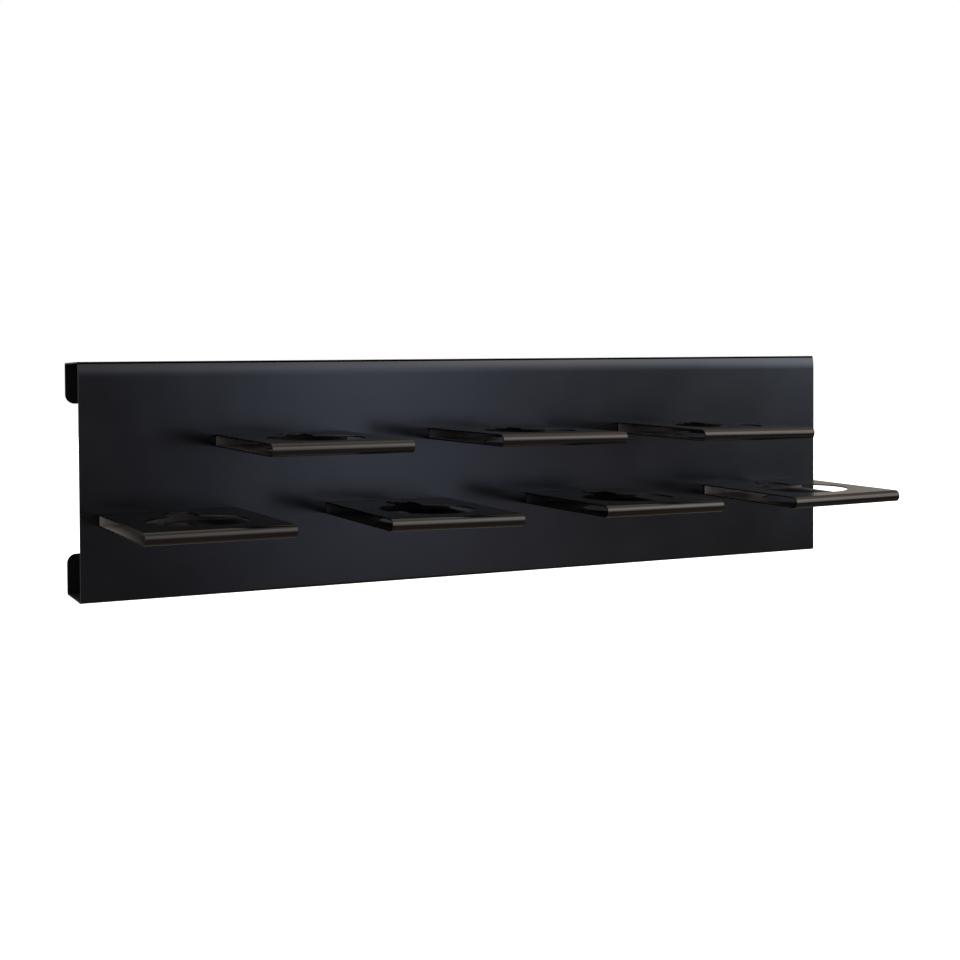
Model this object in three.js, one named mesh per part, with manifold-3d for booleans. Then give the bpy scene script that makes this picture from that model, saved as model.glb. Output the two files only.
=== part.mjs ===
// Wall-mounted tool holder panel: a folded sheet-steel back panel that carries two staggered rows of
// keyhole tool holders, each fixed by two weld studs, washers and nuts behind the panel.
// Millimetres. X runs along the panel, the front faces -Y, the wall is the plane y = 0 and +Z is up.
// Origin: on the wall plane, midway along the panel, level with the seats of the upper hanging slots.

import * as THREE from 'three';
import { mergeVertices } from 'three/addons/utils/BufferGeometryUtils.js';
import Module from 'manifold-3d';

const SHEET = 1.5; // thickness of every folded sheet
const COAT_GAP = 0.1; // paint thickness between pieces that lie face to face
const FIT_GAP = 0.3; // radial gap around a piece that sits in a hole

const PANEL_LENGTH = 940;
const PANEL_HEIGHT = 250;
const PANEL_DEPTH = 65; // front face to wall
const PANEL_TOP = 16; // front top edge above the hanging seats
const RETURN_FALL = 1.5; // how much each return closes in between the front and the wall
const PANEL_BEND = 3; // outer radius of the panel's four bends
const LIP_HEIGHT = 45; // from the level of the nearer front edge to the lip's free edge
const LIP_CORNER = 10; // rounded free corners of the lips

const HANG_PITCH = 280; // along the panel
const HANG_COUNT = 4;
const HANG_SLOT_RADIUS = 2.75;
const HANG_ENTRY_RADIUS = 5;
const HANG_TRAVEL = 12; // from the entry hole up to the seat
const HANG_SEATS = [0, -206]; // upper and lower lip

const HOLDER_WIDTH = 150;
const HOLDER_DEPTH = 186; // front face of the panel to the nose
const HOLDER_HEIGHT = 13; // the nose is a full half round
const HOLDER_BACK_BEND = 2.5; // outer radius where the back plate meets the top plate
const HOLDER_SEAM = 0.4; // between the bottom plate's rear edge and the back plate
const END_MARGIN = 20; // panel end to the outermost holders of the lower row
const HOLDER_PITCH = 250;
const ROWS = [
  { name: 'lower', count: 4, start: END_MARGIN, top: 92 },
  { name: 'upper', count: 3, start: END_MARGIN + HOLDER_PITCH / 2, top: 171 },
]; // start is measured from the panel's left end, top from its lower edge

const KEYHOLE_RADIUS = 51;
const KEYHOLE_CENTRE = 103; // from the panel's front face
const KEYHOLE_SLOT = 15; // half the slot's width, and the radius of its round end
const KEYHOLE_REAR = 15; // from the panel's front face to the slot's round end

const STUD_SPACING = 40; // between the two studs of a holder
const STUD_RADIUS = 2;
const STUD_FLANGE_RADIUS = 2.5; // where the stud is welded to the holder's back
const STUD_FLANGE_HEIGHT = 0.8;
const STUD_CHAMFER = 0.5;
const STUD_PROUD = 2; // beyond the nut
const WASHER_RADIUS = 4.5;
const WASHER_HEIGHT = 0.8;
const NUT_FLATS = 7; // across flats
const NUT_HEIGHT = 3.2;

const BEND_STEPS = 6; // facets in a quarter bend
const KEYHOLE_STEPS = [10, 40]; // facets in the slot's round end and in the circle
const HANG_STEPS = [6, 10]; // the same for a hanging slot
const HOLE_STEPS = 12; // facets in a screw-sized hole or pin
const CUT_OVERRUN = 2; // how far a cutter runs past the faces it cuts

const wasm = await Module();
wasm.setup();

// Solids for cutting -----------------------------------------------------------------------------

function toSolid(geometry) {
  const bare = geometry.clone();
  bare.deleteAttribute('normal');
  bare.deleteAttribute('uv');
  const merged = mergeVertices(bare, 1e-4);
  return new wasm.Manifold(new wasm.Mesh({
    numProp: 3,
    vertProperties: Float32Array.from(merged.attributes.position.array),
    triVerts: Uint32Array.from(merged.index.array),
  }));
}

function toGeometry(solid) {
  const mesh = solid.getMesh();
  const geometry = new THREE.BufferGeometry();
  geometry.setAttribute('position', new THREE.BufferAttribute(mesh.vertProperties, 3));
  geometry.setIndex(new THREE.BufferAttribute(mesh.triVerts, 1));
  return geometry;
}

function cut(geometry, cutters) {
  let solid = toSolid(geometry);
  for (const cutter of cutters) {
    solid = solid.subtract(toSolid(cutter));
  }
  return toGeometry(solid);
}

// Outlines ---------------------------------------------------------------------------------------

function arc(centre, radius, from, to, steps) {
  return Array.from({ length: steps + 1 }, (_, i) => {
    const angle = from + (i / steps) * (to - from);
    return new THREE.Vector2(centre[0] + radius * Math.cos(angle), centre[1] + radius * Math.sin(angle));
  });
}

// A keyhole: a circle, and a narrower slot that rises in +y to a round end.
function keyholeOutline(circle, radius, slotEnd, slotRadius, [endSteps, circleSteps]) {
  const neck = Math.asin(slotRadius / radius);
  const up = Math.PI / 2;
  return [
    ...arc(slotEnd, slotRadius, 0, Math.PI, endSteps),
    ...arc(circle, radius, up + neck, up - neck + 2 * Math.PI, circleSteps),
  ];
}

// The outline of a folded sheet, every fold the same way round. `corners` runs along the outer face
// from one cut edge to the other and `radii` gives the outer radius of each fold.
function foldedOutline(corners, radii) {
  const directions = corners.slice(1).map((point, i) => point.clone().sub(corners[i]).normalize());
  const turn = Math.sign(directions[0].cross(directions[1]));
  const inward = (direction) => new THREE.Vector2(-direction.y, direction.x).multiplyScalar(turn);
  const faceAt = (depth) => {
    const points = [corners[0].clone().addScaledVector(inward(directions[0]), depth)];
    radii.forEach((radius, i) => {
      const [before, after] = [directions[i], directions[i + 1]];
      const fold = before.angleTo(after);
      const centre = corners[i + 1].clone()
        .addScaledVector(before, -radius * Math.tan(fold / 2))
        .addScaledVector(inward(before), radius);
      const from = inward(before).negate().angle();
      points.push(...arc(centre.toArray(), radius - depth, from, from + turn * fold, BEND_STEPS));
    });
    points.push(corners.at(-1).clone().addScaledVector(inward(directions.at(-1)), depth));
    return points;
  };
  const outline = [...faceAt(0), ...faceAt(SHEET).reverse()];
  return outline.filter((point, i) => point.distanceTo(outline.at(i - 1)) > 1e-3);
}

// Extrudes a (y, z) outline along X, centred on x = 0.
function extrudeAlongX(outline, length) {
  const geometry = new THREE.ExtrudeGeometry(new THREE.Shape(outline), { depth: length, bevelEnabled: false });
  geometry.translate(0, 0, -length / 2);
  const [x, y, z] = [[1, 0, 0], [0, 1, 0], [0, 0, 1]].map((axis) => new THREE.Vector3(...axis));
  return geometry.applyMatrix4(new THREE.Matrix4().makeBasis(y, z, x));
}

// Cutters ----------------------------------------------------------------------------------------

function holeAlongY(radius, x, y, z, length) {
  return new THREE.CylinderGeometry(radius, radius, length, HOLE_STEPS).translate(x, y, z);
}

// Extrudes an (x, z) outline through the lips.
function lipCutter(outline) {
  const depth = SHEET + 2 * CUT_OVERRUN;
  return new THREE.ExtrudeGeometry(new THREE.Shape(outline), { depth, bevelEnabled: false })
    .rotateX(Math.PI / 2)
    .translate(0, CUT_OVERRUN, 0);
}

// A hanging slot: its entry hole lies below its seat.
function hangingSlot(x, seat) {
  const entry = [x, seat - HANG_TRAVEL];
  return lipCutter(keyholeOutline(entry, HANG_ENTRY_RADIUS, [x, seat], HANG_SLOT_RADIUS, HANG_STEPS));
}

// What is cut away to round one free corner of a lip. `side` is -1 or 1 for the panel's end, and
// `inward` is 1 or -1 for the way from the lip's free edge into the lip.
function lipCorner(side, edge, inward) {
  const endX = (side * PANEL_LENGTH) / 2;
  const outerX = endX + side * CUT_OVERRUN;
  const outerZ = edge - inward * CUT_OVERRUN;
  const centre = [endX - side * LIP_CORNER, edge + inward * LIP_CORNER];
  const from = (-inward * Math.PI) / 2;
  const rounded = arc(centre, LIP_CORNER, from, from + (side * inward * Math.PI) / 2, BEND_STEPS);
  const outside = [[outerX, centre[1]], [outerX, outerZ], [centre[0], outerZ]];
  return lipCutter([...rounded, ...outside.map(([x, z]) => new THREE.Vector2(x, z))]);
}

// The keyhole of a holder, in the holder's own frame: it runs down through both plates.
function keyholeCutter() {
  const slotEnd = [0, -KEYHOLE_REAR - KEYHOLE_SLOT];
  const outline = keyholeOutline([0, -KEYHOLE_CENTRE], KEYHOLE_RADIUS, slotEnd, KEYHOLE_SLOT, KEYHOLE_STEPS);
  const depth = HOLDER_HEIGHT + 2 * CUT_OVERRUN;
  return new THREE.ExtrudeGeometry(new THREE.Shape(outline), { depth, bevelEnabled: false })
    .translate(0, 0, CUT_OVERRUN - depth);
}

// Pieces -----------------------------------------------------------------------------------------

// The back panel: a flat front, top and bottom returns that close in slightly towards the wall, and
// lips turned towards each other at the wall.
function panelGeometry(studPlaces) {
  const bottom = PANEL_TOP - PANEL_HEIGHT;
  const [upperEdge, lowerEdge] = [PANEL_TOP - LIP_HEIGHT, bottom + LIP_HEIGHT];
  const corners = [
    [0, upperEdge],
    [0, PANEL_TOP - RETURN_FALL],
    [-PANEL_DEPTH, PANEL_TOP],
    [-PANEL_DEPTH, bottom],
    [0, bottom + RETURN_FALL],
    [0, lowerEdge],
  ].map(([y, z]) => new THREE.Vector2(y, z));
  const sheet = extrudeAlongX(foldedOutline(corners, Array(4).fill(PANEL_BEND)), PANEL_LENGTH);
  const cutters = studPlaces.map(({ x, z }) => (
    holeAlongY(STUD_FLANGE_RADIUS + FIT_GAP, x, -PANEL_DEPTH, z, 2 * (SHEET + CUT_OVERRUN))
  ));
  for (const side of [-1, 1]) {
    cutters.push(lipCorner(side, upperEdge, 1), lipCorner(side, lowerEdge, -1));
  }
  for (const seat of HANG_SEATS) {
    for (let i = 0; i < HANG_COUNT; i += 1) {
      cutters.push(hangingSlot((i - (HANG_COUNT - 1) / 2) * HANG_PITCH, seat));
    }
  }
  return cut(sheet, cutters);
}

// A tool holder, in its own frame: centred on x = 0, the panel's front face at y = 0, its top at z = 0.
function holderGeometry() {
  const back = -COAT_GAP;
  const corners = [
    [back, -HOLDER_HEIGHT],
    [back, 0],
    [-HOLDER_DEPTH, 0],
    [-HOLDER_DEPTH, -HOLDER_HEIGHT],
    [back - SHEET - HOLDER_SEAM, -HOLDER_HEIGHT],
  ].map(([y, z]) => new THREE.Vector2(y, z));
  const nose = HOLDER_HEIGHT / 2;
  const sheet = extrudeAlongX(foldedOutline(corners, [HOLDER_BACK_BEND, nose, nose]), HOLDER_WIDTH);
  return cut(sheet, [keyholeCutter()]);
}

// A weld stud along Y, standing on the outer face of the holder's back plate.
function studGeometry() {
  const foot = -COAT_GAP;
  const flange = foot + STUD_FLANGE_HEIGHT;
  const end = SHEET + 2 * COAT_GAP + WASHER_HEIGHT + NUT_HEIGHT + STUD_PROUD;
  const profile = [
    [0, foot],
    [STUD_FLANGE_RADIUS, foot],
    [STUD_FLANGE_RADIUS, flange],
    [STUD_RADIUS, flange],
    [STUD_RADIUS, end - STUD_CHAMFER],
    [STUD_RADIUS - STUD_CHAMFER, end],
    [0, end],
  ].map(([radius, y]) => new THREE.Vector2(radius, y));
  return new THREE.LatheGeometry(profile, HOLE_STEPS);
}

function washerGeometry() {
  const near = SHEET + COAT_GAP;
  const far = near + WASHER_HEIGHT;
  const bore = STUD_RADIUS + FIT_GAP;
  const profile = [[bore, near], [WASHER_RADIUS, near], [WASHER_RADIUS, far], [bore, far], [bore, near]];
  return new THREE.LatheGeometry(profile.map(([radius, y]) => new THREE.Vector2(radius, y)), HOLE_STEPS);
}

function nutGeometry() {
  const near = SHEET + 2 * COAT_GAP + WASHER_HEIGHT;
  const corner = NUT_FLATS / Math.sqrt(3);
  const body = new THREE.CylinderGeometry(corner, corner, NUT_HEIGHT, 6).translate(0, near + NUT_HEIGHT / 2, 0);
  return cut(body, [holeAlongY(STUD_RADIUS + FIT_GAP, 0, near, 0, 4 * NUT_HEIGHT)]);
}

// Assembly ---------------------------------------------------------------------------------------

function coatedSteel() {
  return new THREE.MeshStandardMaterial({ color: 0x1e2024, roughness: 0.42, metalness: 0.2 });
}

function platedSteel() {
  return new THREE.MeshStandardMaterial({ color: 0xa9adb0, roughness: 0.35, metalness: 1 });
}

// Where each holder's top middle lies against the panel's front face.
function holderPlaces() {
  return ROWS.flatMap(({ name, count, start, top }) => (
    Array.from({ length: count }, (_, i) => ({
      name: `${name}_${i + 1}`,
      x: -PANEL_LENGTH / 2 + start + HOLDER_WIDTH / 2 + i * HOLDER_PITCH,
      z: PANEL_TOP - PANEL_HEIGHT + top,
    }))
  ));
}

function studPlacesOf(holder) {
  return [['left', -1], ['right', 1]].map(([side, sign]) => ({
    name: `${holder.name}_${side}`,
    x: holder.x + (sign * STUD_SPACING) / 2,
    z: holder.z - HOLDER_HEIGHT / 2,
  }));
}

const part = new THREE.Group();

function place(name, geometry, material, x, y, z) {
  const mesh = new THREE.Mesh(geometry, material);
  mesh.name = name;
  mesh.position.set(x, y, z);
  part.add(mesh);
}

const holders = holderPlaces();
const studs = holders.flatMap(studPlacesOf);
const holder = holderGeometry();
const fasteners = { weld_stud: studGeometry(), washer: washerGeometry(), hex_nut: nutGeometry() };

place('wall_panel', panelGeometry(studs), coatedSteel(), 0, 0, 0);
for (const { name, x, z } of holders) {
  place(`tool_holder_${name}`, holder, coatedSteel(), x, -PANEL_DEPTH, z);
}
for (const { name, x, z } of studs) {
  for (const [kind, geometry] of Object.entries(fasteners)) {
    place(`${kind}_${name}`, geometry, platedSteel(), x, -PANEL_DEPTH, z);
  }
}

export default part;
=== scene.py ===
"""Looks of the wall-mounted tool holder panel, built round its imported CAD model."""

import bisect
import math

import bmesh
import bpy
from mathutils import Matrix, Vector
from mathutils.geometry import delaunay_2d_cdt


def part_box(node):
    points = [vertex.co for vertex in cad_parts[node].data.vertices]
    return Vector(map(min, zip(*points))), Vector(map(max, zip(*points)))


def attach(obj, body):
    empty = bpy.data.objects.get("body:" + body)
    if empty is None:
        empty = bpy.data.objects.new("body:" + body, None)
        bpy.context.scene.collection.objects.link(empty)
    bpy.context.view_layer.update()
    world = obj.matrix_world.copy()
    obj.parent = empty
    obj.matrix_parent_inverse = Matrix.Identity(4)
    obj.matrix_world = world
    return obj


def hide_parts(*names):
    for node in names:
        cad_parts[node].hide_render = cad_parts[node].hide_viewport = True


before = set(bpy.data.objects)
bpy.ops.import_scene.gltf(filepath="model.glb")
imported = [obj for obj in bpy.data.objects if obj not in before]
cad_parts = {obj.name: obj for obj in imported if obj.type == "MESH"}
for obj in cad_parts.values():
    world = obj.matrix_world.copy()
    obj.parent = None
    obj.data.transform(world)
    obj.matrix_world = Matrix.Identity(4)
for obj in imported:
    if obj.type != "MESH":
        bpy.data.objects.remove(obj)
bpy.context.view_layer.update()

# Lengths are in millimetres and MM turns them into metres. Steps are the facets in a curve.
MM = 0.001
SHEET = 1.5  # thickness of every folded sheet
HALF_SHEET = SHEET / 2

RIM = 0.3  # radius of the coated edge of every cut
RIM_STEPS = 4
CORNER_STEPS = 10
HOLE_STEPS = 32

COAT_GAP = 0.1  # between pieces that lie face to face
FIT_GAP = 0.3  # round a stud's flange in its hole
CLOSE = 1e-3  # lengths nearer than this are taken as equal
TINY = 1e-6

STUD_SPACING = 40
STUD_RADIUS = 2
STUD_FLANGE_RADIUS = 2.5
STUD_FLANGE_HEIGHT = 0.8


# Folded sheets ----------------------------------------------------------------------------------


def fold_line(corners, folds, turn):
    """Stations along the middle of a folded sheet, seen along X: (distance, y, z, heading).
    corners are (y, z) points; folds gives (radius, steps) for each inner corner; turn is 1 or -1."""
    corners = [Vector(c) for c in corners]
    headings = [(b - a).normalized() for a, b in zip(corners, corners[1:])]
    angles = [math.atan2(h.y, h.x) for h in headings]
    stations, run, here = [], 0.0, corners[0]
    stations.append((run, here.x, here.y, angles[0]))
    heading = angles[0]
    for i, (radius, steps) in enumerate(folds):
        before, corner = headings[i], corners[i + 1]
        bend = (angles[i + 1] - angles[i]) % (2 * math.pi)
        if turn < 0:
            bend = 2 * math.pi - bend
        start = corner - before * radius * math.tan(bend / 2)
        flat = (start - here).length
        if flat > TINY:
            run += flat
            stations.append((run, start.x, start.y, heading))
        centre = start + Vector((-before.y, before.x)) * turn * radius
        for k in range(1, steps + 1):
            now = heading + turn * bend * k / steps
            side = Vector((math.sin(now), -math.cos(now))) * turn * radius
            point = centre + side
            stations.append((run + radius * bend * k / steps, point.x, point.y, now))
        run += radius * bend
        heading += turn * bend
        here = centre + Vector((math.sin(heading), -math.cos(heading))) * turn * radius
    rest = (corners[-1] - here).length
    stations.append((run + rest, corners[-1].x, corners[-1].y, heading))
    return stations


def unfold(line, turn, x, s, depth):
    """The point at (x, s) on the flat blank, depth above its middle: (point, outward, along)."""
    keys = [station[0] for station in line]
    i = min(max(bisect.bisect_right(keys, s + TINY) - 1, 0), len(line) - 2)
    (s0, y0, z0, a0), (s1, y1, z1, a1) = line[i], line[i + 1]
    t = (s - s0) / (s1 - s0)
    angle = a0 + (a1 - a0) * t
    out = Vector((0, math.sin(angle) * turn, -math.cos(angle) * turn))
    along = Vector((0, math.cos(angle), math.sin(angle)))
    middle = Vector((x, y0 + (y1 - y0) * t, z0 + (z1 - z0) * t))
    return middle + out * depth, out, along


def blank_outline(width, line, corner):
    """The blank's outer loop, as (x, s, outward x, outward s), with a vertex at every fold station."""
    half, length, loop = width / 2, line[-1][0], []

    def quarter(cx, cs, start):
        for k in range(CORNER_STEPS + 1):
            a = start + k / CORNER_STEPS * math.pi / 2
            nx, ns = math.cos(a), math.sin(a)
            loop.append((cx + corner * nx, cs + corner * ns, nx, ns))

    marks = [s for s, *_ in line if corner + CLOSE < s < length - corner - CLOSE]
    quarter(half - corner, corner, -math.pi / 2)
    loop.extend((half, s, 1, 0) for s in marks)
    quarter(half - corner, length - corner, 0)
    quarter(-half + corner, length - corner, math.pi / 2)
    loop.extend((-half, s, -1, 0) for s in reversed(marks))
    quarter(-half + corner, corner, math.pi)
    return loop


def arc_loop(cx, cs, radius, start, end, steps, facing):
    """Points on an arc of a cut edge; facing is -1 where the cut's waste is inside the arc."""
    points = []
    for k in range(steps + 1):
        a = start + (end - start) * k / steps
        nx, ns = math.cos(a), math.sin(a)
        points.append((cx + radius * nx, cs + radius * ns, facing * nx, facing * ns))
    return points


def round_hole(x, s, radius):
    return arc_loop(x, s, radius, 0, 2 * math.pi, HOLE_STEPS, -1)[:-1]


def keyhole(x, s, radius, slot_end, slot_radius, fillet, steps, way):
    """A circle at (x, s) and a slot that runs to a round end centred slot_end further on, in the
    direction way along s. The corners where they meet are filleted. steps are those of the slot's
    round end, a fillet and the circle."""
    reach = radius + fillet
    neck = math.asin((slot_radius + fillet) / reach)
    up = math.pi / 2
    rise = reach * math.cos(neck)
    end_steps, fillet_steps, circle_steps = steps
    loop = arc_loop(0, slot_end, slot_radius, 0, math.pi, end_steps, -1)
    loop += arc_loop(-slot_radius - fillet, rise, fillet, 0, -up + neck, fillet_steps, 1)
    loop += arc_loop(0, 0, radius, up + neck, up - neck + 2 * math.pi, circle_steps, -1)[1:-1]
    loop += arc_loop(slot_radius + fillet, rise, fillet, -math.pi + up - neck, -math.pi, fillet_steps, 1)
    return [(x + px, s + way * ps, nx, way * ns) for px, ps, nx, ns in loop]


def inside(point, polygon):
    """Even-odd test of a 2-D point against a polygon."""
    x, y = point
    odd = False
    for (x0, y0), (x1, y1) in zip(polygon, polygon[1:] + polygon[:1]):
        if (y0 > y) != (y1 > y) and x < (x1 - x0) * (y - y0) / (y1 - y0) + x0:
            odd = not odd
    return odd


def fill(loops, width, line):
    """Triangles between the inset loops, cut along every fold station.
    Returns (points, triangles, the place of each loop's points among them)."""
    flat, edges, places = [], [], []
    for loop in loops:
        first = len(flat)
        flat += [Vector((x - nx * RIM, s - ns * RIM)) for x, s, nx, ns in loop]
        count = len(loop)
        edges += [(first + i, first + (i + 1) % count) for i in range(count)]
        places.append(range(first, first + count))
    sides = [i for i in places[0] if abs(abs(flat[i].x) - (width / 2 - RIM)) < CLOSE]
    for s, *_ in line:
        ends = [i for i in sides if abs(flat[i].y - s) < CLOSE]
        if len(ends) == 2:
            edges.append(tuple(ends))
    points, _, faces, origins, _, _ = delaunay_2d_cdt(flat, edges, [], 0, TINY)
    where = {old: new for new, olds in enumerate(origins) for old in olds}
    polygons = [[tuple(flat[i]) for i in place] for place in places]
    kept = []
    for face in faces:
        middle = sum((points[i] for i in face), Vector((0, 0))) / len(face)
        if inside(middle, polygons[0]) and not any(inside(middle, p) for p in polygons[1:]):
            kept.append(face)
    return points, kept, [[where[i] for i in place] for place in places]


def folded_sheet(name, line, turn, width, holes, corner):
    """A mesh of a folded sheet with rounded edges, in metres, with exact normals and two vertex
    attributes: rim on the cut edges and inner on the face inside the folds. Each edge is rolled from
    the outer face to the inner one in rows of points, pushed away from the inset loop."""
    loops = [blank_outline(width, line, corner), *holes]
    points, triangles, places = fill(loops, width, line)
    vertices, normals, rims, inners, faces = [], [], [], [], []

    def add(x, s, depth, away, normal_out, normal_away, rim, inner):
        point, out, along = unfold(line, turn, x + away[0], s + away[1], depth)
        sideways = Vector((away[2], 0, 0)) + along * away[3]
        vertices.append(point * MM)
        normals.append((out * normal_out + sideways * normal_away).normalized())
        rims.append(rim)
        inners.append(inner)
        return len(vertices) - 1

    still = (0, 0, 0, 0)
    outer = [add(p.x, p.y, HALF_SHEET, still, 1, 0, 0, 0) for p in points]
    inner = [add(p.x, p.y, -HALF_SHEET, still, -1, 0, 0, 1) for p in points]
    for a, b, c in triangles:
        faces += [(outer[a], outer[b], outer[c]), (inner[c], inner[b], inner[a])]
    section = []
    for half, base in ((0, HALF_SHEET - RIM), (1, RIM - HALF_SHEET)):
        for k in range(RIM_STEPS + 1):
            a = (half + k / RIM_STEPS) * math.pi / 2
            out, away = math.cos(a), math.sin(a)
            section.append((RIM * (away - 1), base + RIM * out, out, away))
    for loop, place in zip(loops, places):
        rows = [[outer[i] for i in place]]
        for shift, depth, out, away in section[1:-1]:
            rows.append([
                add(x, s, depth, (nx * shift, ns * shift, nx, ns), out, away, 1, 0)
                for x, s, nx, ns in loop
            ])
        rows.append([inner[i] for i in place])
        count = len(loop)
        for upper, lower in zip(rows, rows[1:]):
            for i in range(count):
                j = (i + 1) % count
                faces.append((upper[i], lower[i], lower[j], upper[j]))
    mesh = bpy.data.meshes.new(name)
    mesh.from_pydata(vertices, [], faces)
    finish_mesh(mesh)
    for key, values in (("rim", rims), ("inner", inners)):
        mesh.attributes.new(key, "FLOAT", "POINT").data.foreach_set("value", values)
    mesh.normals_split_custom_set_from_vertices(normals)
    return mesh


def finish_mesh(mesh, sharp=None):
    """Turns every face outwards and shades it smooth, and keeps edges sharper than the angle sharp."""
    work = bmesh.new()
    work.from_mesh(mesh)
    bmesh.ops.recalc_face_normals(work, faces=work.faces)
    for face in work.faces:
        face.smooth = True
    if sharp is not None:
        for edge in work.edges:
            edge.smooth = edge.is_manifold and edge.calc_face_angle(0) < sharp
    work.to_mesh(mesh)
    work.free()
    mesh.update()


# The panel --------------------------------------------------------------------------------------

PANEL_BEND = 3  # outer radius of the folds
PANEL_BEND_STEPS = 20
LIP_BEND_STEPS = 16
RETURN_FALL = 1.5  # how far the top and bottom fall towards the wall
LIP_HEIGHT = 45
LIP_CORNER = 10
LEAN = 1.8  # how far the front face leans back at its top edge, over LEAN_HEIGHT
LEAN_HEIGHT = 8.5
LEAN_RADIUS = 70
LEAN_STEPS = 16

HANG_PITCH = 280
HANG_COUNT = 4
HANG_SLOT_RADIUS = 2.75
HANG_ENTRY_RADIUS = 5
HANG_FILLET = 0.6
HANG_STEPS = (12, 4, 28)
HANG_TRAVEL = 12  # from the entry up to the seat
HANG_SEATS = (0, -206)  # heights of the two rows


def panel_mesh():
    low, high = (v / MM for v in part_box("wall_panel"))
    front, top, bottom = low.y, high.z, low.z
    bend = PANEL_BEND - HALF_SHEET
    corners = [
        (-HALF_SHEET, top - LIP_HEIGHT),
        (-HALF_SHEET, top - RETURN_FALL - HALF_SHEET),
        (front + LEAN + HALF_SHEET, top - HALF_SHEET),
        (front + HALF_SHEET, top - LEAN_HEIGHT),
        (front + HALF_SHEET, bottom + HALF_SHEET),
        (-HALF_SHEET, bottom + RETURN_FALL + HALF_SHEET),
        (-HALF_SHEET, bottom + LIP_HEIGHT),
    ]
    lip_fold, front_fold = (bend, LIP_BEND_STEPS), (bend, PANEL_BEND_STEPS)
    folds = [lip_fold, front_fold, (LEAN_RADIUS, LEAN_STEPS), front_fold, lip_fold]
    turn = fold_turn(corners)
    line = fold_line(corners, folds, turn)
    # a height z on a lip lies at z + lip_start along the blank
    lip_starts = (-(top - LIP_HEIGHT), line[-1][0] - (bottom + LIP_HEIGHT))
    holes = []
    for seat, lip_start in zip(HANG_SEATS, lip_starts):
        entry = lip_start + seat - HANG_TRAVEL
        for i in range(HANG_COUNT):
            x = (i - (HANG_COUNT - 1) / 2) * HANG_PITCH
            holes.append(keyhole(x, entry, HANG_ENTRY_RADIUS, HANG_TRAVEL, HANG_SLOT_RADIUS,
                                 HANG_FILLET, HANG_STEPS, 1))
    middle = front + HALF_SHEET
    flat_start, _, flat_top, _ = next(station for station in line if station[1] < middle + TINY)
    for x, z in stud_places():
        holes.append(round_hole(x, flat_start + flat_top - z, STUD_FLANGE_RADIUS + FIT_GAP))
    return folded_sheet("wall_panel_sheet", line, turn, high.x - low.x, holes, LIP_CORNER)


def fold_turn(corners):
    """1 if the corners turn left, -1 if they turn right."""
    (ax, ay), (bx, by), (cx, cy) = corners[:3]
    return 1 if (bx - ax) * (cy - by) - (by - ay) * (cx - bx) > 0 else -1


# The holders ------------------------------------------------------------------------------------

HOLDERS = [f"lower_{i}" for i in (1, 2, 3, 4)] + [f"upper_{i}" for i in (1, 2, 3)]
HOLDER_BACK_BEND = 2.5
HOLDER_BACK_STEPS = 14
NOSE_STEPS = 24  # in each quarter of the nose
HOLDER_SEAM = 0.4  # between the lower plate's end and the back plate
HOLDER_CORNER = 0.9
KEYHOLE_RADIUS = 51
KEYHOLE_CENTRE = 103  # from the panel
KEYHOLE_SLOT = 15  # half the slot's width
KEYHOLE_REAR = 15  # from the panel to the slot's end
KEYHOLE_FILLET = 1.2
KEYHOLE_STEPS = (28, 6, 96)

# How far each holder and its studs are rolled, in degrees about Y, and how far its nose hangs down.
ROLLS = {"lower_2": 0.95, "lower_3": 0.3, "lower_4": -0.6, "upper_1": 0.2, "upper_2": 0.6, "upper_3": 0.6}
DIPS = {"lower_1": 0.2, "lower_2": 0.6, "lower_4": 0.4, "upper_1": 0.25, "upper_2": -0.25, "upper_3": 0.35}


def holder_place(name):
    """The middle of the holder's back face, in millimetres."""
    low, high = (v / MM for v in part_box(f"tool_holder_{name}"))
    return Vector(((low.x + high.x) / 2, high.y, (low.z + high.z) / 2))


def stud_places():
    """The (x, z) of every stud."""
    for name in HOLDERS:
        middle = holder_place(name)
        for way in (-1, 1):
            yield middle.x + way * STUD_SPACING / 2, middle.z


def holder_mesh():
    """The holder's sheet: up the back plate, along the top plate, round the nose and back along the
    lower plate. The middle of its back face is at the origin."""
    low, high = (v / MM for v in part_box("tool_holder_lower_1"))
    depth, up = high.y - low.y, (high.z - low.z) / 2 - HALF_SHEET
    rear = -SHEET - HOLDER_SEAM
    corners = [
        (-HALF_SHEET, -up - HALF_SHEET),
        (-HALF_SHEET, up),
        (-depth + HALF_SHEET, up),
        (-depth + HALF_SHEET, -up),
        (rear, -up),
    ]
    folds = [(HOLDER_BACK_BEND - HALF_SHEET, HOLDER_BACK_STEPS), (up, NOSE_STEPS), (up, NOSE_STEPS)]
    turn = fold_turn(corners)
    line = fold_line(corners, folds, turn)
    top_start, top_rear, _, _ = next(station for station in line if station[2] > up - TINY)
    centre = -KEYHOLE_CENTRE + COAT_GAP
    reach = KEYHOLE_CENTRE - KEYHOLE_REAR - KEYHOLE_SLOT
    holes = [
        keyhole(0, s, KEYHOLE_RADIUS, reach, KEYHOLE_SLOT, KEYHOLE_FILLET, KEYHOLE_STEPS, way)
        for s, way in ((top_start + top_rear - centre, -1), (line[-1][0] - rear + centre, 1))
    ]
    return folded_sheet("tool_holder_sheet", line, turn, high.x - low.x, holes, HOLDER_CORNER)


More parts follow.
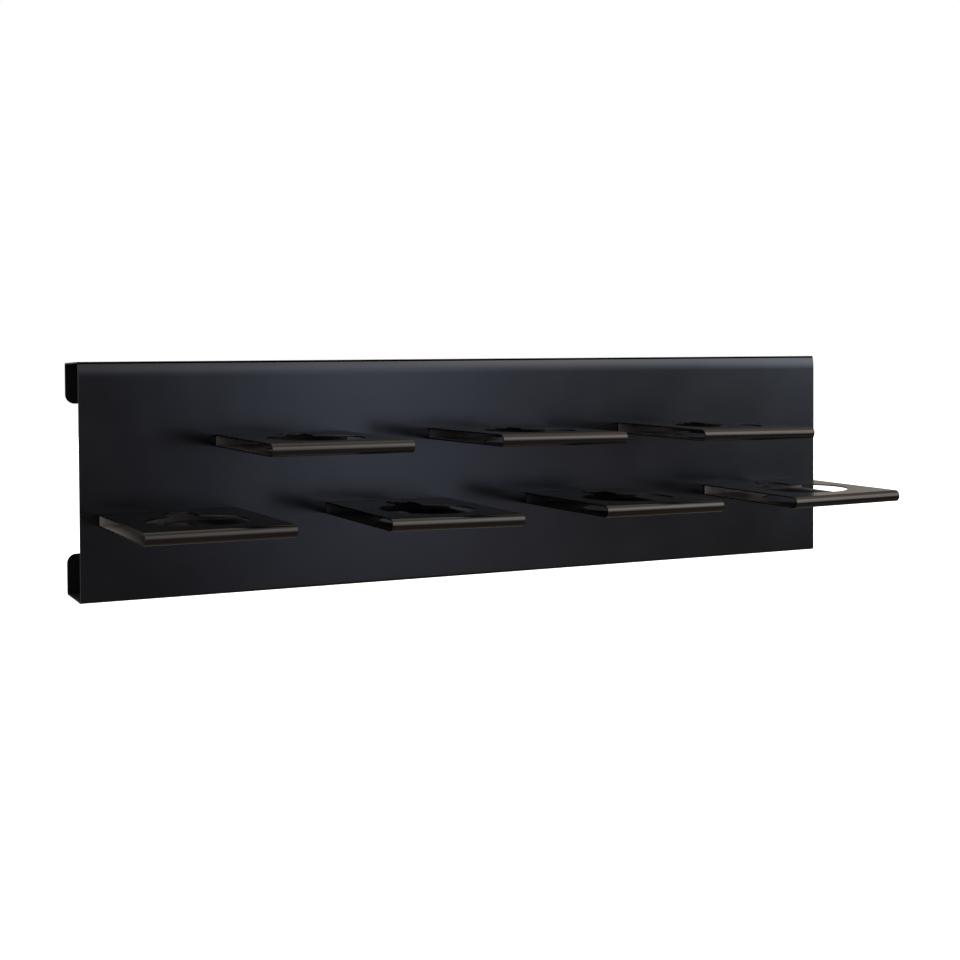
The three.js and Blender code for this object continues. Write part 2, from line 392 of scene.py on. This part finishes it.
def with_primer_painted_light(mesh, name):
    """A copy of the holder's mesh with its own attribute for the pale primer tone, painted light that fades
    from the left end and the back plate.
    """
    mesh = mesh.copy()
    mesh.name = f"tool_holder_sheet_{name}"
    strength, along, deep = PRIMER_LIGHT_BY_HOLDER[name]
    left = min(v.co.x for v in mesh.vertices)
    values = []
    for inner, v in zip(mesh.attributes["inner"].data, mesh.vertices):
        fade = (left - v.co.x) / (along * MM) + v.co.y / (deep * MM)
        values.append(inner.value * strength * math.exp(fade))
    mesh.attributes.new("primer_painted_light", "FLOAT", "POINT").data.foreach_set("value", values)
    return mesh


# Fasteners --------------------------------------------------------------------------------------


def round_point(radius, y, i, count):
    """Point i of the count on a circle round Y, in metres."""
    a = 2 * math.pi * i / count
    return radius * math.cos(a) * MM, y * MM, radius * math.sin(a) * MM


def ring_mesh(name, rings, count, sharp):
    """A closed band of rings round Y, each a pair (radius, y) or a function of the angle that gives one."""
    vertices, faces = [], []
    for ring in rings:
        for i in range(count):
            radius, y = ring(2 * math.pi * i / count) if callable(ring) else ring
            vertices.append(round_point(radius, y, i, count))
    for row in range(len(rings)):
        a, b = row * count, (row + 1) % len(rings) * count
        for i in range(count):
            j = (i + 1) % count
            faces.append((a + i, b + i, b + j, a + j))
    mesh = bpy.data.meshes.new(name)
    mesh.from_pydata(vertices, [], faces)
    finish_mesh(mesh, sharp)
    return mesh


def washer_mesh():
    """A stamped washer: its upper outer edge is rolled over by the die, the others are only broken."""
    outer, bore, height = 4.5, 2.3, 0.8
    roll, bore_edge, outer_edge, top_bore_edge = 0.18, 0.1, 0.06, 0.12
    rings = [
        (bore, bore_edge), (bore + bore_edge, 0),
        (outer - outer_edge, 0), (outer, outer_edge),
        (outer, height - roll), (outer - 0.3 * roll, height - 0.3 * roll), (outer - roll, height),
        (bore + top_bore_edge, height), (bore, height - top_bore_edge),
    ]
    return ring_mesh("washer_ring", rings, 64, math.radians(40))


def nut_mesh():
    """A hexagon nut with both faces chamfered at 30 degrees."""
    flats, height, bore, bore_edge = 7.0, 3.2, 2.2, 0.3
    face = 0.95 * flats / 2

    def hexagon(a):
        turn = (a + math.pi / 6) % (math.pi / 3) - math.pi / 6
        return flats / 2 / math.cos(turn)

    def shoulder(a):
        return (hexagon(a) - face) * math.tan(math.radians(30))

    rings = [
        (bore, bore_edge), (bore + bore_edge, 0), (face, 0),
        lambda a: (hexagon(a), shoulder(a)),
        lambda a: (hexagon(a), height - shoulder(a)),
        (face, height), (bore + bore_edge, height), (bore, height - bore_edge),
    ]
    return ring_mesh("hex_nut_body", rings, 96, math.radians(24))


def stud_mesh(length):
    """A weld stud along +Y: its flange stands on y = 0 and a rolled thread runs up to its tip."""
    count = 32
    major, minor, pitch, start = STUD_RADIUS, 1.6, 0.7, 2.4
    flange_edge, run_out = 0.15, 0.4
    # the thread's profile, as (radius, rise in turns), then the cone of its tip and the slope of its start
    profile = [(minor, 0.0), (major - 0.04, 0.42), (major, 0.58), (minor + 0.03, 0.97)]
    tip_radius, tip_slope, start_slope = 1.45, 0.9, 1.2
    vertices, faces = [], []
    shank = [
        (STUD_FLANGE_RADIUS, 0), (STUD_FLANGE_RADIUS, STUD_FLANGE_HEIGHT - flange_edge),
        (STUD_FLANGE_RADIUS - flange_edge, STUD_FLANGE_HEIGHT), (major, STUD_FLANGE_HEIGHT),
        (major, start - run_out), (minor, start),
    ]
    for radius, y in shank:
        for i in range(count):
            vertices.append(round_point(radius, y, i, count))
    faces.append(tuple(range(count)))
    for ring in range(len(shank) - 1):
        for i in range(count):
            a, b, j = ring * count, (ring + 1) * count, (i + 1) % count
            faces.append((a + i, b + i, b + j, a + j))
    # the thread is a helical grid, flattened against the planes of its two ends
    first = len(vertices)
    rows_per_turn = len(profile)
    rows = (int((length - start) / pitch) + 2) * rows_per_turn
    for i in range(count):
        for j in range(rows + 1):
            radius, rise = profile[j % rows_per_turn]
            y = start + pitch * (j // rows_per_turn + rise + i / count - 1)
            y = min(max(y, start), length)
            tip = tip_radius + (length - y) * tip_slope
            radius = min(radius, tip, minor + (y - start) * start_slope)
            vertices.append(round_point(radius, y, i, count))
    for i in range(count):
        for j in range(rows if i + 1 < count else rows - rows_per_turn):
            a = first + i * (rows + 1) + j
            b = a + rows + 1 if i + 1 < count else first + j + rows_per_turn
            faces.append((a, a + 1, b + 1, b))
    mesh = bpy.data.meshes.new("weld_stud_body")
    mesh.from_pydata(vertices, [], faces)
    merge = 0.002 * MM
    work = bmesh.new()
    work.from_mesh(mesh)
    bmesh.ops.remove_doubles(work, verts=work.verts, dist=merge)
    bmesh.ops.dissolve_degenerate(work, edges=work.edges, dist=merge)
    bmesh.ops.holes_fill(work, edges=[e for e in work.edges if e.is_boundary], sides=0)
    work.to_mesh(mesh)
    work.free()
    finish_mesh(mesh, math.radians(35))
    return mesh


# Materials --------------------------------------------------------------------------------------

# How strongly the pale primer tone shows inside each holder, and the lengths over which it fades from the
# left end and from the back plate.
# This is painted light: the pale tone and its fade stand for light coming in at the holder's open end and
# dying away inside.
PRIMER_LIGHT_BY_HOLDER = {
    "lower_1": (0.85, 90, 75), "lower_2": (0.12, 60, 60), "lower_3": (0.12, 60, 60),
    "lower_4": (1.0, 400, 50), "upper_1": (0.4, 60, 80), "upper_2": (0.3, 60, 60),
    "upper_3": (0.45, 60, 80),
}

# Two near-black coats: the colours their clouds run between, their roughness, the shift of their
# noise, and how much gloss they keep at a flat angle.
PANEL_COAT = {
    "dark": (0.042, 0.042, 0.043, 1), "light": (0.046, 0.046, 0.047, 1),
    "rough": 0.18, "seed": 3.1, "edge_gloss": 0.5,
}
HOLDER_COAT = {
    "dark": (0.045, 0.041, 0.037, 1), "light": (0.049, 0.045, 0.041, 1),
    "rough": 0.22, "seed": 7.7, "edge_gloss": 0.38,
}
# darker colour on the cut edges: partly wear, partly painted shade for the dark rims
WORN_AND_SHADED_EDGE = (0.03, 0.03, 0.03, 1)
# darker colour inside the folds: painted shade
INSIDE_PAINTED_SHADE = (0.016, 0.015, 0.015, 1)
# pale primer tone inside the holders, used as painted light for light coming in at the open end
PRIMER_LIGHT_TONE = (0.34, 0.31, 0.28, 1)
WORN_ROUGHNESS = 0.08  # added on the cut edges
INNER_ROUGHNESS = 0.5  # added inside the folds

ZINC_BLUE = (0.52, 0.54, 0.57, 1)
ZINC_STRAW = (0.72, 0.70, 0.64, 1)
ZINC_SCRATCH = (0.32, 0.32, 0.31, 1)


class Nodes:
    """A short way to write a node tree."""

    def __init__(self, tree, output):
        self.tree = tree
        self.tree.nodes.clear()
        self.out = self.tree.nodes.new("ShaderNode" + output)

    def set(self, node, key, value):
        if isinstance(value, bpy.types.NodeSocket):
            self.tree.links.new(value, node.inputs[key])
        else:
            node.inputs[key].default_value = value

    def add(self, kind, values=None, **settings):
        node = self.tree.nodes.new("ShaderNode" + kind)
        for key, value in settings.items():
            setattr(node, key, value)
        for key, value in (values or {}).items():
            self.set(node, key, value)
        return node

    def noise(self, where, scale, detail=2.0, rough=0.5):
        node = self.add("TexNoise", {"Vector": where, "Scale": scale, "Detail": detail, "Roughness": rough})
        return node.outputs["Fac"]

    def remap(self, value, low, high, to_low, to_high):
        node = self.add("MapRange", {
            "Value": value, "From Min": low, "From Max": high, "To Min": to_low, "To Max": to_high})
        return node.outputs["Result"]

    def smooth(self, value, low, high):
        node = self.add("MapRange", {"Value": value, "From Min": low, "From Max": high},
                        interpolation_type="SMOOTHSTEP")
        return node.outputs["Result"]

    def mix(self, factor, a, b):
        return self.add("Mix", {0: factor, 6: a, 7: b}, data_type="RGBA").outputs[2]

    def math(self, operation, a, b):
        return self.add("Math", {0: a, 1: b}, operation=operation).outputs[0]

    def grey(self, value):
        return self.add("CombineColor", {0: value, 1: value, 2: value}).outputs[0]

    def finish(self, surface):
        self.tree.links.new(surface, self.out.inputs["Surface"])


def material_nodes(name):
    material = bpy.data.materials.new(name)
    material.use_nodes = True
    return material, Nodes(material.node_tree, "OutputMaterial")


def powder_coat(name, dark, light, rough, seed, edge_gloss):
    """Satin powder coat: orange peel, faint clouding, and on the cut edges a darker colour that is partly
    wear and partly painted shade.
    Its gloss fades at a flat angle, as a textured coat's does. Inside the folds the coat is dull and its
    colour is darkened as painted shade, and a pale primer tone is painted light where the mesh's attribute
    for it says, standing for light that comes in at a holder's open end."""
    material, n = material_nodes(name)
    place = n.add("NewGeometry").outputs["Position"]
    where = n.add("VectorMath", {0: place, 1: (seed, 0.37 * seed, -seed)}, operation="ADD").outputs[0]
    clouds = n.noise(where, 14.0, 3.0)
    grain = n.noise(where, 2600.0, 2.0)
    peel = n.noise(where, 620.0, 1.5, 0.4)
    sway = n.noise(where, 22.0, 1.0, 0.4)
    edge = n.add("Attribute", attribute_name="rim").outputs["Fac"]
    inside_shade_mask = n.add("Attribute", attribute_name="inner").outputs["Fac"]
    primer_painted_light = n.add("Attribute", attribute_name="primer_painted_light").outputs["Fac"]
    colour = n.mix(n.remap(clouds, 0.3, 0.7, 0.0, 1.0), dark, light)
    # the cut edges darken: partly wear, partly painted shade
    wear_and_edge_shade = n.math("MULTIPLY", edge, n.remap(n.noise(where, 160.0, 3.0), 0.35, 0.7, 0.25, 1.0))
    colour = n.mix(wear_and_edge_shade, colour, WORN_AND_SHADED_EDGE)
    # pale primer tone inside the holders: painted light, fading from the open end
    primer_light_pool = n.math("MULTIPLY", primer_painted_light, n.remap(n.noise(where, 90.0, 3.0), 0.3, 0.7, 0.85, 1.0))
    # inside the folds the colour darkens: painted shade
    colour = n.mix(inside_shade_mask, colour, n.mix(primer_light_pool, INSIDE_PAINTED_SHADE, PRIMER_LIGHT_TONE))
    gloss = n.math("ADD", n.remap(clouds, 0.25, 0.75, rough - 0.02, rough + 0.03),
                   n.remap(grain, 0.2, 0.8, -0.02, 0.02))
    gloss = n.math("ADD", gloss, n.math("MULTIPLY", wear_and_edge_shade, WORN_ROUGHNESS))
    gloss = n.math("ADD", gloss, n.math("MULTIPLY", inside_shade_mask, INNER_ROUGHNESS))
    rise = n.math("ADD", n.math("MULTIPLY", peel, 0.6), n.math("MULTIPLY", grain, 0.12))
    fine = n.add("Bump", {"Height": rise, "Strength": 0.2, "Distance": 0.03 * MM})
    broad = n.add("Bump", {"Height": sway, "Strength": 0.5, "Distance": 0.2 * MM,
                           "Normal": fine.outputs["Normal"]})
    shader = n.add("BsdfPrincipled", {
        "Base Color": colour, "Metallic": n.math("SUBTRACT", 1.0, primer_light_pool), "Roughness": gloss, "IOR": 1.5,
        "Specular Tint": (edge_gloss, edge_gloss, edge_gloss, 1), "Normal": broad.outputs["Normal"]})
    n.finish(shader.outputs["BSDF"])
    return material


def zinc_plate(name):
    """Bright zinc plate: cloudy, finely scratched, a faint straw and blue tint."""
    material, n = material_nodes(name)
    where = n.add("NewGeometry").outputs["Position"]
    clouds = n.noise(where, 240.0, 4.0, 0.6)
    fine = n.noise(where, 2400.0, 3.0, 0.6)
    colour = n.mix(n.remap(clouds, 0.3, 0.7, 0.0, 1.0), ZINC_BLUE, ZINC_STRAW)
    colour = n.mix(n.remap(fine, 0.55, 0.85, 0.0, 0.6), colour, ZINC_SCRATCH)
    gloss = n.remap(clouds, 0.2, 0.8, 0.24, 0.42)
    bump = n.add("Bump", {"Height": fine, "Strength": 0.4, "Distance": 0.02 * MM})
    shader = n.add("BsdfPrincipled", {
        "Base Color": colour, "Metallic": 1.0, "Roughness": gloss, "Normal": bump.outputs["Normal"]})
    n.finish(shader.outputs["BSDF"])
    return material


# Putting the pieces in place --------------------------------------------------------------------


def put(name, mesh, material, matrix, node):
    """Places the piece that stands for a CAD node."""
    if not mesh.materials:
        mesh.materials.append(material)
    piece = bpy.data.objects.new(name, mesh)
    bpy.context.scene.collection.objects.link(piece)
    piece.matrix_world = matrix
    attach(piece, "root")
    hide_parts(node)
    return piece


def roll_matrix(name):
    """Turns a holder and its fasteners together about the middle of its back face."""
    middle = holder_place(name) * MM
    turn = Matrix.Rotation(math.radians(ROLLS.get(name, 0)), 4, "Y")
    return Matrix.Translation(middle) @ turn @ Matrix.Translation(-middle)


def build_object():
    panel_coat = powder_coat("panel_powder_coat", **PANEL_COAT)
    holder_coat = powder_coat("holder_powder_coat", **HOLDER_COAT)
    zinc = zinc_plate("zinc_plated_steel")
    put("wall_panel_sheet", panel_mesh(), panel_coat, Matrix.Identity(4), "wall_panel")
    holder = holder_mesh()
    low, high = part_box("weld_stud_lower_1_left")
    fasteners = (
        ("weld_stud", "stud", stud_mesh((high.y - low.y) / MM)),
        ("washer", "washer_ring", washer_mesh()),
        ("hex_nut", "nut", nut_mesh()),
    )
    for name in HOLDERS:
        roll = roll_matrix(name)
        dip = Matrix.Rotation(math.radians(DIPS.get(name, 0)), 4, "X")
        place = roll @ Matrix.Translation(holder_place(name) * MM) @ dip
        put(f"holder_sheet_{name}", with_primer_painted_light(holder, name), holder_coat, place,
            f"tool_holder_{name}")
        for side in ("left", "right"):
            for kind, title, mesh in fasteners:
                node = f"{kind}_{name}_{side}"
                low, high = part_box(node)
                foot = Vector(((low.x + high.x) / 2, low.y, (low.z + high.z) / 2))
                put(f"{title}_{name}_{side}", mesh, zinc, roll @ Matrix.Translation(foot),
                    node)


# Studio -----------------------------------------------------------------------------------------

# The photo's camera, in metres: where it stands, where it looks and which way its right side points.
CAMERA_PLACE = (-0.8244, -1.7067, 0.0265)
CAMERA_FORWARD = (0.44429, 0.89552, -0.02535)
CAMERA_RIGHT = (0.89574, -0.44455, -0.00529)
CAMERA_LENS = 59.55
CAMERA_SENSOR = 36
CAMERA_SHIFT = -0.0941


def camera():
    data = bpy.data.cameras.new("photo_camera")
    data.lens, data.sensor_width, data.shift_y = CAMERA_LENS, CAMERA_SENSOR, CAMERA_SHIFT
    data.clip_start, data.clip_end = 0.05, 60
    forward = Vector(CAMERA_FORWARD).normalized()
    right = Vector(CAMERA_RIGHT)
    right = (right - forward * right.dot(forward)).normalized()
    up = right.cross(forward)
    matrix = Matrix((right, up, -forward)).transposed().to_4x4()
    matrix.translation = CAMERA_PLACE
    eye = bpy.data.objects.new("photo_camera", data)
    bpy.context.scene.collection.objects.link(eye)
    eye.matrix_world = matrix
    bpy.context.scene.camera = eye


# What the satin coats mirror: soft lights round the object, each with its azimuth and elevation, its
# spread along both, and its colour. Angles are in degrees. Azimuth 0 is straight in front of the panel
# and 90 is off its right end. The narrow ones make the light bands on the panel's front and along its
# top edge. The wide ones light the noses and the sides that a look from elsewhere shows.
SOFT_LIGHTS = [
    (22.5, 1.5, 3.2, 6, (1.16, 1.36, 1.86)),
    (22, 13, 7, 4.5, (1.2, 1.3, 1.5)),
    (31, 18, 5, 5, (1.2, 1.25, 1.4)),
    (28, -9, 6, 5, (0.17, 0.14, 0.14)),
    (43, 9, 4.5, 6, (3.6, 4.25, 5.15)),
    (45, 34, 18, 12, (3.7, 3.6, 3.6)),
    (100, 64, 30, 14, (0.6, 0.58, 0.56)),
    (-75, 25, 25, 20, (0.6, 0.56, 0.52)),
    (-32, -6, 17, 26, (0.85, 0.85, 0.90)),
    (180, 38, 60, 16, (2.1, 2.0, 1.9)),
    (-135, 27, 28, 16, (3.6, 3.5, 3.4)),
    (180, -36, 60, 10, (1.1, 1.05, 1.0)),
]

# The even glow behind those lights, and the angles or, for the back, the Y over which it changes.
FLOOR_GLOW = (0.23, 0.175, 0.145)
WALL_GLOW = (0.10, 0.09, 0.10)
CEILING_GLOW = (0.26, 0.25, 0.25)
BACK_GLOW = (0.58, 0.51, 0.445)
FLOOR_TO_WALL = (-45, -6)
WALL_TO_CEILING = (15, 70)
FRONT_TO_BACK = (0.0, 0.1)


def studio_world():
    """A soft studio that the object sees: a warm floor, dim walls, a lighter ceiling, a light room
    behind and the soft lights. The camera sees plain white in its place."""
    world = bpy.data.worlds.new("studio")
    bpy.context.scene.world = world
    world.use_nodes = True
    n = Nodes(world.node_tree, "OutputWorld")
    way = n.add("SeparateXYZ", {0: n.add("TexCoord").outputs["Generated"]}).outputs
    ahead = n.math("MULTIPLY", way["Y"], -1.0)
    azimuth = n.math("ARCTAN2", way["X"], ahead)
    elevation = n.math("ARCSINE", way["Z"], 0.0)
    low_rise = n.smooth(elevation, *map(math.radians, FLOOR_TO_WALL))
    high_rise = n.smooth(elevation, *map(math.radians, WALL_TO_CEILING))
    glow = n.mix(low_rise, (*FLOOR_GLOW, 1), (*WALL_GLOW, 1))
    glow = n.mix(high_rise, glow, (*CEILING_GLOW, 1))
    glow = n.mix(n.smooth(way["Y"], *FRONT_TO_BACK), glow, (*BACK_GLOW, 1))
    for light_azimuth, light_elevation, width, height, colour in SOFT_LIGHTS:
        fall = 0.0
        for angle, centre, spread in ((azimuth, light_azimuth, width), (elevation, light_elevation, height)):
            off = n.math("DIVIDE", n.math("SUBTRACT", angle, math.radians(centre)), math.radians(spread))
            fall = n.math("ADD", fall, n.math("MULTIPLY", off, off))
        shine = n.math("EXPONENT", n.math("MULTIPLY", fall, -0.5), 0.0)
        light = n.add("VectorMath", {0: colour, "Scale": shine}, operation="SCALE").outputs[0]
        glow = n.add("VectorMath", {0: glow, 1: light}, operation="ADD").outputs[0]
    soft = n.add("Background", {"Color": glow, "Strength": 1.0}).outputs[0]
    seen = n.add("Background", {"Color": (1, 1, 1, 1), "Strength": 1.0}).outputs[0]
    lens = n.add("LightPath").outputs["Is Camera Ray"]
    n.finish(n.add("MixShader", {0: lens, 1: soft, 2: seen}).outputs[0])


def area_light(name, place, target, size, power, colour):
    """A square light, in metres and watts."""
    data = bpy.data.lights.new(name, "AREA")
    data.shape, data.size, data.size_y = "RECTANGLE", size, size
    data.energy, data.color = power, colour
    lamp = bpy.data.objects.new(name, data)
    bpy.context.scene.collection.objects.link(lamp)
    aim = (Vector(target) - Vector(place)).to_track_quat("-Z", "Y")
    lamp.matrix_world = Matrix.Translation(place) @ aim.to_matrix().to_4x4()


FLOOR_PLACE = (0, -0.1, -0.8)
FLOOR_RADIUS = 14
FLOOR_STEPS = 96


def pale_floor():
    """A round floor, pale under the object and fading to white far away. The object doesn't mirror it:
    the studio's own glow stands for the floor there."""
    work = bmesh.new()
    bmesh.ops.create_circle(work, cap_ends=True, segments=FLOOR_STEPS, radius=FLOOR_RADIUS)
    mesh = bpy.data.meshes.new("studio_floor")
    work.to_mesh(mesh)
    work.free()
    floor = bpy.data.objects.new("studio_floor", mesh)
    bpy.context.scene.collection.objects.link(floor)
    floor.location = FLOOR_PLACE
    floor.visible_glossy = floor.visible_diffuse = floor.visible_shadow = False
    material, n = material_nodes("pale_floor")
    place = n.add("TexCoord").outputs["Object"]
    away = n.add("VectorMath", {0: place}, operation="LENGTH").outputs["Value"]
    far = n.smooth(away, 0.8, 5.0)
    speckle = n.remap(n.noise(place, 3.0, 4.0), 0.3, 0.7, 0.80, 0.84)
    colour = n.mix(far, n.grey(speckle), (0.82, 0.82, 0.82, 1))
    matt = n.add("BsdfDiffuse", {"Color": colour}).outputs[0]
    glow = n.remap(far, 0.0, 1.0, 0.42, 0.7)
    lift = n.add("Emission", {"Color": (1, 1, 1, 1), "Strength": glow}).outputs[0]
    n.finish(n.add("AddShader", {0: matt, 1: lift}).outputs[0])
    mesh.materials.append(material)


def studio():
    scene = bpy.context.scene
    scene.view_settings.view_transform = "Standard"
    scene.view_settings.look = "None"
    studio_world()
    pale_floor()
    area_light("left_soft", (-2.2, -0.8, 0.1), (-0.3, -0.1, -0.12), 0.8, 3, (1.0, 0.95, 0.88))


camera()
build_object()
studio()
